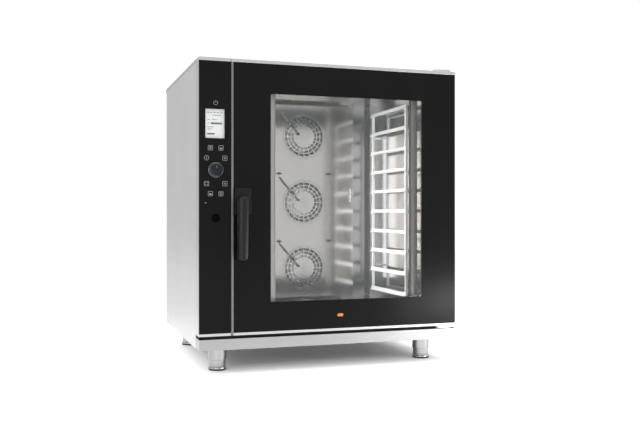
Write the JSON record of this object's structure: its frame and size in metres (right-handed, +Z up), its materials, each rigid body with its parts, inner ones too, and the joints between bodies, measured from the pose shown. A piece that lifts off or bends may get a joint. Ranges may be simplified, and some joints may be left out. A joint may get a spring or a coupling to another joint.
{
  "type": "combi steamer oven",
  "caption": "Upright combi steam oven with a glazed door hinged on the right, a knob and display column on the left, tray racks, three fans and levelling feet.",
  "frame": {"origin": "centre of the overall box, on the surface that the feet stand on", "axes": "+X to the right as seen from the front, +Y to the back, +Z up; the door faces -Y"},
  "size_m": [0.933, 0.841, 1.088],
  "materials": {
    "steel_satin": "satin stainless steel sheet with a fine grain",
    "steel_polished": "bright polished stainless steel",
    "trim_steel": "grey satin edge profile",
    "black_glass": "black back-printed glass",
    "clear_glass": "clear toughened glass",
    "display": "pale lit display window",
    "circuit_board": "green circuit board",
    "black_plastic": "black moulded plastic, slightly textured",
    "knob_plastic": "dark blue-grey satin knob",
    "gasket_rubber": "dark grey silicone seal",
    "brass": "turned brass fitting",
    "light_bar": "anodised profile",
    "heater_alloy": "heat-darkened heater tube",
    "cast_aluminium": "cast motor housing",
    "fan_steel": "pressed stainless fan wheel",
    "foot_steel": "turned stainless foot with a black rubber rim"
  },
  "bodies": {
    "cabinet": {"baffle": "steel_polished", "base_frame": "steel_satin", "cable_gland": "black_plastic", "cavity_back_wall": "steel_polished", "cavity_ceiling": "steel_polished", "cavity_floor": "steel_polished", "cavity_left_wall": "steel_polished", "cavity_right_wall": "steel_polished", "control_board": "circuit_board", "control_column": "steel_satin", "control_glass": "black_glass", "display": "display", "door_gasket": "gasket_rubber", "door_striker": "steel_satin", "drain_pipe": "steel_satin", "fan_motor_1": "cast_aluminium", "fan_motor_2": "cast_aluminium", "fan_motor_3": "cast_aluminium", "front_frame": "steel_satin", "hinge_plate_bottom": "steel_satin", "hinge_plate_top": "steel_satin", "intake_grille_1": "steel_polished", "intake_grille_2": "steel_polished", "intake_grille_3": "steel_polished", "port_cap": "black_plastic", "rack_left": "steel_polished", "rack_right": "steel_polished", "rear_panel": "steel_satin", "ring_heater_1": "heater_alloy", "ring_heater_2": "heater_alloy", "ring_heater_3": "heater_alloy", "side_panel_left": "steel_satin", "side_panel_right": "steel_satin", "spray_pipe_1": "steel_polished", "spray_pipe_2": "steel_polished", "spray_pipe_3": "steel_polished", "top_cover": "steel_satin", "vent_pipe": "steel_satin", "water_inlet": "brass"},
    "door": {"door_stile_left": "trim_steel", "door_stile_right": "steel_satin", "door_rail_top": "steel_satin", "door_rail_bottom": "steel_satin", "door_outer_glass": "clear_glass", "door_inner_glass": "clear_glass", "door_light_left": "light_bar", "door_light_right": "light_bar", "handle_bracket": "black_plastic"},
    "handle": {"handle_grip": "black_plastic", "latch_hook": "steel_satin"},
    "selector": {"encoder_shaft": "steel_satin"},
    "knob": {"control_knob": "knob_plastic"},
    "tray": {"drip_tray": "steel_satin"},
    "fan_1": {"fan_wheel_1": "fan_steel"},
    "fan_2": {"fan_wheel_2": "fan_steel"},
    "fan_3": {"fan_wheel_3": "fan_steel"},
    "foot_body_1": {"foot_1": "foot_steel"},
    "foot_body_2": {"foot_2": "foot_steel"},
    "foot_body_3": {"foot_3": "foot_steel"},
    "foot_body_4": {"foot_4": "foot_steel"}
  },
  "joints": [
    {"name": "door_hinge", "type": "hinge", "parent": "cabinet", "child": "door", "pos_m": [0.44, -0.3355, 0.586], "axis": [0, 0, 1], "range_deg": [0, 120]},
    {"name": "handle_turn", "type": "hinge", "parent": "door", "child": "handle", "pos_m": [-0.327, -0.3605, 0.572], "axis": [0, -1, 0], "range_deg": [0, 75]},
    {"name": "knob_push", "type": "slide", "parent": "cabinet", "child": "selector", "axis": [0, 1, 0], "range_m": [0, 0.002], "stiffness_N_per_m": 800, "springref_m": -0.001},
    {"name": "knob_turn", "type": "hinge", "parent": "selector", "child": "knob", "pos_m": [-0.41, -0.3725, 0.676], "axis": [0, -1, 0], "continuous": true},
    {"name": "tray_slide", "type": "slide", "parent": "cabinet", "child": "tray", "axis": [0, -1, 0], "range_m": [0, 0.07]},
    {"name": "fan_spin_1", "type": "hinge", "parent": "cabinet", "child": "fan_1", "pos_m": [0.053, 0.1945, 0.313], "axis": [0, 1, 0], "continuous": true},
    {"name": "fan_spin_2", "type": "hinge", "parent": "cabinet", "child": "fan_2", "pos_m": [0.053, 0.1945, 0.5785], "axis": [0, 1, 0], "continuous": true},
    {"name": "fan_spin_3", "type": "hinge", "parent": "cabinet", "child": "fan_3", "pos_m": [0.053, 0.1945, 0.844], "axis": [0, 1, 0], "continuous": true},
    {"name": "foot_turn_1", "type": "hinge", "parent": "cabinet", "child": "foot_body_1", "pos_m": [-0.382, -0.2475, 0.04], "axis": [0, 0, 1], "continuous": true},
    {"name": "foot_turn_2", "type": "hinge", "parent": "cabinet", "child": "foot_body_2", "pos_m": [-0.382, 0.3215, 0.04], "axis": [0, 0, 1], "continuous": true},
    {"name": "foot_turn_3", "type": "hinge", "parent": "cabinet", "child": "foot_body_3", "pos_m": [0.382, -0.2475, 0.04], "axis": [0, 0, 1], "continuous": true},
    {"name": "foot_turn_4", "type": "hinge", "parent": "cabinet", "child": "foot_body_4", "pos_m": [0.382, 0.3215, 0.04], "axis": [0, 0, 1], "continuous": true}
  ]
}
